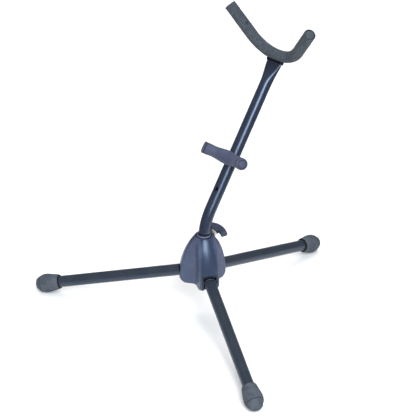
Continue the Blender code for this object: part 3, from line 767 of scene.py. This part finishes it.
YOKE_PATH = Path(YOKE_ARC_R, YOKE_ARC_HALF, YOKE_ARM)
CAP_R, CAP_DEPTH, SEAT_DEPTH = 6.8, 5.0, 5.3
CAP_PROFILE = [(0, -0.1), (2.5, -0.12), (4.9, -0.2), (5.9, -0.32), (6.25, -0.5), (6.45, -0.9)]
CAP_PROFILE += [(6.45, -3.2), (CAP_R, -3.4), (CAP_R, -CAP_DEPTH), (0, -CAP_DEPTH)]
NICK_S, NICK_ANGLE = YOKE_PATH.reach - 32.5, radians(93)


def foam_shade(point):
    """Painted shade: dark in the nick, and in the seats of the end caps."""
    for end in (-YOKE_PATH.reach, YOKE_PATH.reach):
        tip, outward = YOKE_PATH.at(end)
        offset = point - tip
        depth = offset.dot(outward)
        if abs(depth) < 6 and (offset - outward * depth).length < CAP_R + GAP + 0.2:
            return 1
    centre, tangent = YOKE_PATH.at(NICK_S)
    normal = Vector((1, 0, 0)).cross(tangent)
    offset = point - centre
    along = offset.dot(tangent)
    around = (atan2(offset.dot(normal), offset.x) - NICK_ANGLE) * FOAM_R
    return exp(-(along**2) - (around / 2.2) ** 2)


def foam_swell(s, angle, radius):
    """Soft unevenness of the foam sleeve: a lengthwise moulding line, faint folds and one small nick."""
    if radius < FOAM_R - 1.5:
        return 0
    wave = noise.noise(Vector((s * 0.035, cos(angle) * 0.9, sin(angle) * 0.9)))
    fine = noise.noise(Vector((s * 0.16, cos(angle) * 2.5, sin(angle) * 2.5 + 7)))
    bulge = 0.16 * wave + 0.06 * fine
    seam = -0.3 * exp(-(((angle - radians(104)) * FOAM_R / 0.5) ** 2)) * (1 if s > 0 else 0.4)
    nick = -1.0 * exp(-(((s - NICK_S) / 0.8) ** 2) - ((angle - NICK_ANGLE) * FOAM_R / 1.9) ** 2)
    bend = max(0, 1 - abs(abs(s) - 27) / 16)
    crease = -0.10 * bend * (0.5 + 0.5 * cos(s * 1.3)) * max(0, sin(angle)) ** 2
    return bulge + seam + nick + crease


def foam_profile():
    """(distance, radius) points: along the sleeve, round its rim into the seat, and back in the bore."""
    reach, floor, seat = YOKE_PATH.reach, YOKE_PATH.reach - SEAT_DEPTH, CAP_R + GAP
    rim, steps, bore_steps = 0.7, 260, 60
    outer = [(-reach + rim + (2 * reach - 2 * rim) * i / steps, FOAM_R) for i in range(steps + 1)]
    end = []
    for a in (25, 50, 75, 90):
        end.append((reach - rim + rim * sin(radians(a)), FOAM_R - rim + rim * cos(radians(a))))
    end += [(reach - 0.3, seat + 0.1), (reach - 0.9, seat), (floor, seat), (floor, ROD_BORE_R)]
    bore = [(floor - 2 * floor * i / bore_steps, ROD_BORE_R) for i in range(1, bore_steps)]
    return outer + end + bore + [(-s, r) for s, r in reversed(end)]


def make_foam():
    foam = put("yoke_foam_fine", sweep(YOKE_PATH, foam_profile(), 56, foam_swell), YOKE_FRAME)
    boolean(foam, [cutter(rounded_slot(TOP_HALF_WIDTH + 0.7, TOP_HALF_THICK + 1.4, -14, 0.4), YOKE_ROOT)])
    # Painted shade in the nick and the caps' seats.
    mark(foam, YOKE_FRAME, foam_shade)
    finish_piece(foam, "upright", FOAM, ["yoke_foam"], 60)


def cap_rim_shade(point):
    """Painted shade: dark round a cap's rim, in the groove at its seat."""
    return smoothstep((hypot(point.x, point.y) - 6.2) / 0.25)


def make_caps():
    for side, sign in (("left", 1), ("right", -1)):
        tip, tangent = YOKE_PATH.at(sign * YOKE_PATH.reach)
        lean_out = acos(tangent.z if sign > 0 else -tangent.z)
        place = YOKE_FRAME @ Matrix.Translation(tip) @ Matrix.Rotation(-sign * lean_out, 4, "X")
        cap = put("yoke_cap_" + side + "_fine", lathe(CAP_PROFILE, 48), place)
        # Painted shade round the rim.
        mark(cap, place, cap_rim_shade)
        finish_piece(cap, "upright", CAP_PLASTIC, ["yoke_cap_" + side], 60)


def make_weld():
    # Painted shade: a nearly black bead, set low enough to show below the foam, where the flattened end is in
    # shade.
    bead = put("yoke_weld_fine", weld_bead(), YOKE_ROOT @ shift(0, 0, -8.0))
    finish_piece(bead, "upright", WELD_SHADE_PAINT, ["yoke_weld"], 80)


def stadium(half_width, half_thick):
    """Outline of a flattened ring: wide along Y, thin along X, with round ends."""
    centre, count = half_width - half_thick, 15
    return arc((0, centre), half_thick, 0, 180, count) + arc((0, -centre), half_thick, 180, 360, count)


def rounded_slot(half_width, half_thick, low, high):
    outline = stadium(half_width, half_thick)
    return mesh_of_rings([[(x, y, z) for x, y in outline] for z in (low, high)], cap=True)


def weld_bead():
    """A rippled bead laid round the tube's flattened end."""
    half_width, half_thick = TOP_HALF_WIDTH + 0.3, TOP_HALF_THICK + 0.4
    straight = 2 * (half_width - half_thick)
    total = 2 * straight + 2 * pi * half_thick
    count, sides, ripple, tall = 180, 12, 1.5, 3.0
    rings = []
    for i in range(count):
        d = total * i / count
        x, y, nx, ny = bead_station(d, half_thick, straight)
        size = 0.7 + 0.12 * cos(d * 2 * pi / ripple) + 0.06 * noise.noise(Vector((d * 0.7, 0, 0)))
        ring = []
        for angle in turn(sides):
            ring.append((x + nx * size * cos(angle), y + ny * size * cos(angle), size * tall * sin(angle)))
        rings.append(ring)
    return mesh_of_rings(rings, loop=True)


def bead_station(d, radius, straight):
    """(x, y, outward x, outward y) at a distance round a stadium."""
    half_turn = pi * radius
    for sign in (1, -1):
        if d < straight:
            return sign * radius, sign * (-straight / 2 + d), sign, 0
        d -= straight
        if d < half_turn:
            angle = d / radius + (0 if sign > 0 else pi)
            return radius * cos(angle), sign * straight / 2 + radius * sin(angle), cos(angle), sin(angle)
        d -= half_turn
    return radius, -straight / 2, 1, 0


REST_PATH = Path(REST_ARC_R, REST_ARC_HALF, 6.0, REST_HEIGHT)


REST_TIP = REST_PATH.arc_length + 0.7
REST_MIDDLE_R, REST_WAIST_R, REST_TIP_R, REST_DOME = 9.6, 7.7, 8.3, 2.4
REST_GROOVE = REST_TIP - 4.4


def rest_radius(s):
    """Thick in the middle, with a waist on each side and slightly fuller ends."""
    waist_share = 0.6
    share = abs(s) / REST_PATH.arc_length
    if share < waist_share:
        return REST_MIDDLE_R + (REST_WAIST_R - REST_MIDDLE_R) * smoothstep(share / waist_share)
    return REST_WAIST_R + (REST_TIP_R - REST_WAIST_R) * smoothstep((share - waist_share) / (1 - waist_share))


def rest_profile():
    """(distance, radius) points from end to end, with a groove and a raised disc at each end."""
    steps, tip, radius = 90, REST_TIP, REST_TIP_R
    half = []
    for i in range(steps + 1):
        s = (tip - REST_DOME) * i / steps
        half.append((s, rest_radius(s) - 0.6 * exp(-(((s - REST_GROOVE) / 0.7) ** 2))))
    half += [(tip - REST_DOME + x, radius - REST_DOME + y) for y, x in arc((0, 0), REST_DOME, 12, 78, 7)]
    half += [(tip - 0.1, radius - 2.5), (tip - 0.8, radius - 2.8), (tip - 0.8, radius - 3.2)]
    half += [(tip - 0.2, radius - 3.5), (tip + 0.1, 2.6), (tip + 0.12, 0)]
    return [(-s, r) for s, r in reversed(half[1:])] + half


def rest_swell(s, angle, radius):
    """Slight unevenness, and the mould's parting lines."""
    uneven = 0.10 * noise.noise(Vector((s * 0.06, cos(angle), sin(angle) + 3)))
    seam = 0.10 * exp(-((sin(angle) * radius / 0.35) ** 2))
    return uneven + seam


def rest_shade(point):
    """Painted shade: dark in the groove before each end and at the end discs' rims."""
    s = abs(atan2(point.y, REST_HEIGHT + REST_ARC_R - point.z)) * REST_ARC_R
    rim = hypot(point.x, hypot(point.y, point.z - REST_HEIGHT - REST_ARC_R) - REST_ARC_R)
    groove = exp(-((s - REST_GROOVE) ** 2))
    edge = exp(-(((rim - REST_TIP_R + 2.6) / 0.6) ** 2)) * smoothstep((s - REST_TIP + 1.6) / 0.8)
    return max(groove, edge)


def make_rest():
    arm = put("rest_arm_fine", sweep(REST_PATH, rest_profile(), 56, rest_swell), REST_FRAME)
    saddle = cutter(cylinder(TUBE_R + GAP, -30, 30, 80), REST_FRAME @ spin_about("Y", 90))
    socket = cutter(cylinder(PEG_HOLE_R, 0, REST_HEIGHT + 3, 32), REST_FRAME)
    boolean(arm, [saddle, socket])
    soften(arm, 0.5, 45)
    # Painted shade in the grooves and at the end rims.
    mark(arm, REST_FRAME, rest_shade)
    finish_piece(arm, "lower_rest", REST_RUBBER, ["rest_arm"], 60)


def make_peg():
    radius, high, low = 3, REST_HEIGHT + 2.7, -TUBE_R - 4
    profile = rounded([(0, high), (radius, high), (radius, low + 0.01), (0, low)], 0.9)
    peg = put("rest_peg_fine", lathe(profile, 40), REST_FRAME)
    finish_piece(peg, "lower_rest", ZINC, ["rest_peg"], 60)


# --- Wing screw ---


def wing_stations():
    """(share of the half span, size) along the crescent, with both tips rounded off."""
    tip_round = 1.9
    length = radians(WING_SPAN) * WING_ARC_R
    bar = [((i / 12 - 1) * (1 - tip_round / length), 1.0) for i in range(25)]
    tip = []
    for a in range(15, 91, 15):
        tip.append((1 - tip_round * (1 - sin(radians(a))) / length, 1 - 0.34 * (1 - cos(radians(a)))))
    return [(-share, size) for share, size in reversed(tip)] + bar + tip


def wing_rings():
    """Rectangles with rounded corners, set along the crescent's arc."""
    centre_z = WING_APEX - WING_ARC_R
    half_depth, corner = 4.0, 1.7
    section = []
    for cx, cy, start in ((1, 1, 0), (-1, 1, 90), (-1, -1, 180), (1, -1, 270)):
        section += [(cx, cy, dx, dy) for dx, dy in arc((0, 0), corner, start, start + 90, 6)]
    rings = []
    for share, size in wing_stations():
        angle = radians(WING_SPAN) * share
        half_radial = (4.8 - 0.2 * share * share) * size
        ring = []
        for cx, cy, dx, dy in section:
            across = cx * (half_depth * size - corner) + dx
            radial = WING_ARC_R + cy * (half_radial - corner) + dy
            ring.append((across, radial * sin(angle), centre_z + radial * cos(angle)))
        rings.append(ring)
    return rings


def make_knob():
    """A crescent bar curving back towards the hub, on a tapered boss."""
    knob = put("clamp_knob_fine", mesh_of_rings(wing_rings(), cap=True), KNOB_FRAME)
    outline = [(0, KNOB_NEAR), (5.0, KNOB_NEAR), (5.6, KNOB_NEAR + 0.6), (5.6, 25.4), (3.4, 29), (0, 29)]
    boolean(knob, [cutter(lathe(outline, 48), KNOB_FRAME)], "UNION")
    bore = cylinder(SCREW_R + GAP, KNOB_NEAR - 5, WING_APEX - 0.7, 32)
    boolean(knob, [cutter(bore, KNOB_FRAME)])
    soften(knob, 0.5, 42)
    finish_piece(knob, "clamp_knob", KNOB_PLASTIC, ["clamp_knob"], 50)


def make_screw():
    """A threaded rod: a helical groove with the pitch that the clamp's travel uses."""
    low, high, pitch, depth = 13.8, WING_APEX - 1.3, 1.0, 0.55
    sides, steps = 36, 110
    rings = [[(0, 0, low - 0.7)]]
    for i in range(steps + 1):
        z = low + (high - low) * i / steps
        taper = min(1, 0.72 + (z - low) / 3)
        ring = []
        for angle in turn(sides):
            phase = (z / pitch - angle / (2 * pi)) % 1.0
            groove = max(0, min(1, 2.4 * abs(phase - 0.5) - 0.1))
            r = (SCREW_R - depth * groove) * taper
            ring.append((r * cos(angle), r * sin(angle), z))
        rings.append(ring)
    rings.append([(0, 0, high + 0.01)])
    screw = put("clamp_screw_fine", mesh_of_rings(rings), SCREW_FRAME)
    finish_piece(screw, "clamp_knob", ZINC, ["clamp_screw"], 60)


def make_nut():
    low, high, across = NUT_SEAT + GAP, NUT_SEAT + GAP + 4.5, 5.75
    face, edge, bevel, mouth, thread = 4.9, across + 0.1, 0.6, 3.9, 3.25
    hexagon = [(across * cos(radians(60 * i)), across * sin(radians(60 * i))) for i in range(6)]
    prism = mesh_of_rings([[(x, y, z) for x, y in hexagon] for z in (low, high)], cap=True)
    nut = put("clamp_nut_fine", prism, SCREW_FRAME)
    outside = [(0, low), (face, low), (edge, low + bevel), (edge, high - bevel), (face, high), (0, high)]
    boolean(nut, [cutter(lathe(outside, 60), SCREW_FRAME)], "INTERSECT")
    bore = [(0, low - 1), (mouth, low - 1), (thread, low + bevel), (thread, high - bevel)]
    bore += [(mouth, high + 1), (0, high + 1)]
    boolean(nut, [cutter(lathe(bore, 48), SCREW_FRAME)])
    finish_piece(nut, "hub", ZINC, ["clamp_nut"], 25)


# --- Legs ---


FOOT_END = FOOT_MOUTH + FOOT_LENGTH
FOOT_SEAT = FOOT_END - 9
FOOT_CREASE = 6.9
FOOT_BARREL = [(8.5, 0.9), (10.0, 3.8), (11.6, 6.6), (12.55, 9.0), (13.0, 12.0), (13.1, 15.0)]
FOOT_BARREL += [(12.7, 19.0), (12.0, 23.0), (11.3, 26.8), (10.8, 30.2), (10.35, 32.6)]


def barrel_radius(d):
    """The foot's radius at a distance from its closed end, on straight lines between its points."""
    for (r0, d0), (r1, d1) in zip(FOOT_BARREL, FOOT_BARREL[1:]):
        if d <= d1:
            return r0 + (r1 - r0) * (d - d0) / (d1 - d0)
    return FOOT_BARREL[-1][0]


def rib_wave(d):
    """1 in the middle of each groove between the ribs, 0 on the ribs and beyond them."""
    first, pitch = 10.5, 3.6
    return max(0, cos(2 * pi * (d - first) / pitch)) if 9 < d < 27 else 0


def foot_outline():
    """The rubber foot along the leg's axis: a domed end cap, a ribbed barrel, a lip and a flared mouth."""
    low, high, steps = FOOT_BARREL[0][1], FOOT_BARREL[-1][1], 132
    outline = [(0, FOOT_END), (4, FOOT_END), (6.8, FOOT_END), (7.7, FOOT_END - 0.1), (8.25, FOOT_END - 0.5)]
    for i in range(steps + 1):
        d = low + (high - low) * i / steps
        near = [min(max(d + offset, low), high) for offset in (-1.0, -0.5, 0, 0.5, 1.0)]
        smooth = sum(barrel_radius(n) for n in near) / len(near)
        crease = 0.45 * exp(-(((d - FOOT_CREASE) / 0.45) ** 2))
        outline.append((smooth - 0.32 * rib_wave(d) ** 8 - crease, FOOT_END - d))
    bore = TUBE_R + GAP
    outline += [(10.1, FOOT_MOUTH + 0.3), (9.85, FOOT_MOUTH), (9.6, FOOT_MOUTH + 0.1)]
    outline += [(9.4, FOOT_MOUTH + 0.6), (bore + 0.25, FOOT_MOUTH + 4.5), (bore, FOOT_MOUTH + 6)]
    outline += [(bore, FOOT_SEAT), (0, FOOT_SEAT)]
    return outline


def foot_shade(point):
    """Painted shade: dark in the grooves between the foot's ribs and in the crease round its end."""
    d = FOOT_END - point.z
    return max(0.35 * rib_wave(d) ** 4, exp(-(((d - FOOT_CREASE) / 0.8) ** 2)))


def leg_tube_profile():
    inside, start, end = TUBE_R - TUBE_WALL, -7, FOOT_SEAT - GAP
    first, steps = start + 0.3, 40
    profile = [(inside, start), (TUBE_R - 0.3, start), (TUBE_R, first)]
    profile += [(TUBE_R, first + (end - first - 0.3) * i / steps) for i in range(1, steps)]
    return profile + [(TUBE_R, end), (inside, end)]


CUFF_PROFILE = [(TUBE_R - 0.1, 3), (TUBE_R + 0.2, 3.1), (TUBE_R + 0.2, 11.9), (TUBE_R - 0.1, 12.2)]
LIP_PROFILE = [(TUBE_R, 9.6), (TUBE_R + 0.3, 9.7), (TUBE_R + 0.4, 9.9), (TUBE_R + 0.3, 10.1), (TUBE_R, 10.2)]
THROAT_PROFILE = [(TUBE_R, FOOT_MOUTH + 5), (TUBE_R, FOOT_MOUTH - 1), (9.3, FOOT_MOUTH - 1)]
THROAT_PROFILE += [(9.6, FOOT_MOUTH - 0.7), (9.6, FOOT_MOUTH + 0.3), (8.6, FOOT_MOUTH + 5)]


def make_leg(name, azimuth):
    """A leg's tube, and the dark cuff, pale lip and dark root where it enters the hub."""
    body, pivot = "leg_" + name, leg_frame(azimuth)
    place = pivot @ spin_about("Y", 90)
    tube = put("leg_tube_" + name + "_fine", lathe(leg_tube_profile()), place)
    boolean(tube, [cutter(cylinder(2.3, -15, 15, 32), pivot @ spin_about("X", 90))])
    finish_piece(tube, body, LEG_PAINT, ["leg_tube_" + name], 50)
    cuff = put("leg_cuff_" + name + "_fine", lathe(CUFF_PROFILE), place)
    finish_piece(cuff, body, BLACK_AND_SHADE_PLASTIC, sharp=50)
    lip = put("leg_lip_" + name + "_fine", lathe(LIP_PROFILE), place)
    finish_piece(lip, body, BUSH_PLASTIC, sharp=50)
    root = put("leg_root_" + name + "_fine", box((-4, -8.2, -10.4), (11, 8.2, 0)), pivot)
    soften(root, 0.9, segments=3)
    finish_piece(root, body, BLACK_AND_SHADE_PLASTIC)


def make_foot(name, azimuth):
    """A leg's rubber foot, flat where it stands, and a black ring in its mouth as painted shade."""
    body, place = "leg_" + name, leg_frame(azimuth) @ spin_about("Y", 90)
    foot = put("foot_" + name + "_fine", lathe(foot_outline(), 72), place)
    for vertex in foot.data.vertices:
        vertex.co.z = max(vertex.co.z, 0)
    # Painted shade in the rib grooves and the end crease.
    mark(foot, place, foot_shade)
    finish_piece(foot, body, FOOT_RUBBER, ["foot_" + name], 50)
    # Painted shade: a black ring inside the foot's mouth.
    throat = put("foot_throat_" + name + "_fine", lathe(THROAT_PROFILE), place)
    finish_piece(throat, body, BLACK_AND_SHADE_PLASTIC)


def repaint_carried():
    """CAD pieces that stay as they are get the same finishes as the rest."""
    finishes = {"cap_plastic": CAP_PLASTIC, "zinc_steel": ZINC, "upright_paint": UPRIGHT_PAINT}
    slots = {part["node"]: part["material_slot"] for part in frame["record"]["subparts"]}
    for name, obj in frame["nodes"].items():
        if not obj.hide_render:
            obj.data.materials.clear()
            obj.data.materials.append(finishes[slots[name]])


# --- Camera, light and floor ---


def make_camera():
    """A long lens a little under two and a half metres away, above and to one side of the lean's plane."""
    roll = 0.449
    place = Vector((5.26, -1959.2, 1301.1))
    gaze = Vector((0, 0.8656, -0.5007))
    to_row = Matrix.Rotation(-CAMERA_TURN, 3, "Z")
    camera = bpy.data.cameras.new("camera")
    camera.sensor_width = 36
    camera.lens = 145.95
    camera.clip_end = 20
    obj = bpy.data.objects.new("camera", camera)
    bpy.context.scene.collection.objects.link(obj)
    facing = (to_row @ gaze).to_track_quat("-Z", "Y").to_matrix() @ Matrix.Rotation(radians(roll), 3, "Z")
    where = (to_row @ place + Vector((HUB_X, 0, 0))) * MM
    obj.matrix_world = Matrix.Translation(where) @ facing.to_4x4()
    bpy.context.scene.camera = obj


def from_camera(x, y, z):
    """A place in metres, given as right, away and up from the middle of the floor as the camera sees it."""
    return Matrix.Rotation(-CAMERA_TURN, 3, "Z") @ Vector((x, y, z))


def area_light(name, place, target, size, power, colour=(1, 1, 1), glossy=True):
    """A softbox. One that isn't glossy lights surfaces without showing in their highlights."""
    light = bpy.data.lights.new(name, "AREA")
    light.shape = "RECTANGLE"
    light.size, light.size_y = size
    light.energy = power
    light.color = colour
    obj = bpy.data.objects.new(name, light)
    obj.visible_camera = False
    obj.visible_glossy = glossy
    bpy.context.scene.collection.objects.link(obj)
    obj.location = place
    obj.rotation_euler = (Vector(target) - Vector(place)).to_track_quat("-Z", "Y").to_euler()


def circle(radius):
    return [(radius * cos(a), radius * sin(a), 0) for a in turn(ROUND)]


def stage_piece(name, mesh, material, glossy):
    """A piece of the studio. One that isn't glossy stays out of reflections."""
    mesh.name = name
    obj = bpy.data.objects.new(name, mesh)
    obj.visible_glossy = glossy
    obj.data.materials.append(material)
    bpy.context.scene.collection.objects.link(obj)
    return obj


def make_floor():
    """White paper. Only the part near the stand shows in reflections."""
    paper = bpy.data.materials.new("floor_paper")
    paper.use_nodes = True
    shader = paper.node_tree.nodes["Principled BSDF"]
    shader.inputs["Base Color"].default_value = (0.95, 0.95, 0.95, 1)
    shader.inputs["Roughness"].default_value = 0.9
    shader.inputs["Specular IOR Level"].default_value = 0.1
    near, far, drop = 0.32, 1.7, 0.0005
    for name, rings in (("floor", [[(0, 0, 0)], circle(near)]), ("floor_far", [circle(near), circle(far)])):
        stage_piece(name, mesh_of_rings(rings), paper, name == "floor").location.z = -drop


def make_backdrop():
    """A white dome that lights nothing and only shows behind the stand."""
    white = bpy.data.materials.new("backdrop_white")
    white.use_nodes = True
    shader = white.node_tree.nodes["Principled BSDF"]
    shader.inputs["Base Color"].default_value = (0, 0, 0, 1)
    shader.inputs["Emission Color"].default_value = (1, 1, 1, 1)
    shader.inputs["Emission Strength"].default_value = 1.0
    radius = 7.0
    dome = stage_piece("backdrop", lathe(arc((0, 0), radius, -90, 90, 25)), white, False)
    dome.visible_diffuse = False
    dome.visible_shadow = False


def make_light():
    """A large soft key light, fill lights that don't show in reflections, and a dim even sky."""
    world = bpy.data.worlds.new("studio")
    bpy.context.scene.world = world
    world.use_nodes = True
    sky = world.node_tree.nodes["Background"]
    sky.inputs["Color"].default_value = (0.95, 0.97, 1.0, 1)
    sky.inputs["Strength"].default_value = 0.22
    centre = (0, 0, 0.15)
    area_light("key", from_camera(0.4, -1.65, 1.5), (0, 0, 0.2), (1.0, 1.3), 58, (0.92, 0.96, 1.0))
    area_light("left", from_camera(-1.9, -0.9, 1.7), centre, (1.8, 1.8), 16, glossy=False)
    area_light("top", from_camera(0.0, 0.5, 2.4), centre, (2.6, 2.6), 20, glossy=False)
    area_light("back", from_camera(0.0, 1.3, 2.0), from_camera(0.0, 1.2, 0), (3.2, 1.6), 30, glossy=False)
    bpy.context.scene.view_settings.view_transform = "Standard"


make_camera()
make_hub()
make_shade_ring()
make_bush()
make_upright()
make_dark_band()
make_foam()
make_caps()
make_weld()
make_rest()
make_peg()
make_knob()
make_screw()
make_nut()
for leg_name, leg_azimuth in LEGS.items():
    make_leg(leg_name, leg_azimuth)
    make_foot(leg_name, leg_azimuth)
repaint_carried()
make_floor()
make_backdrop()
make_light()
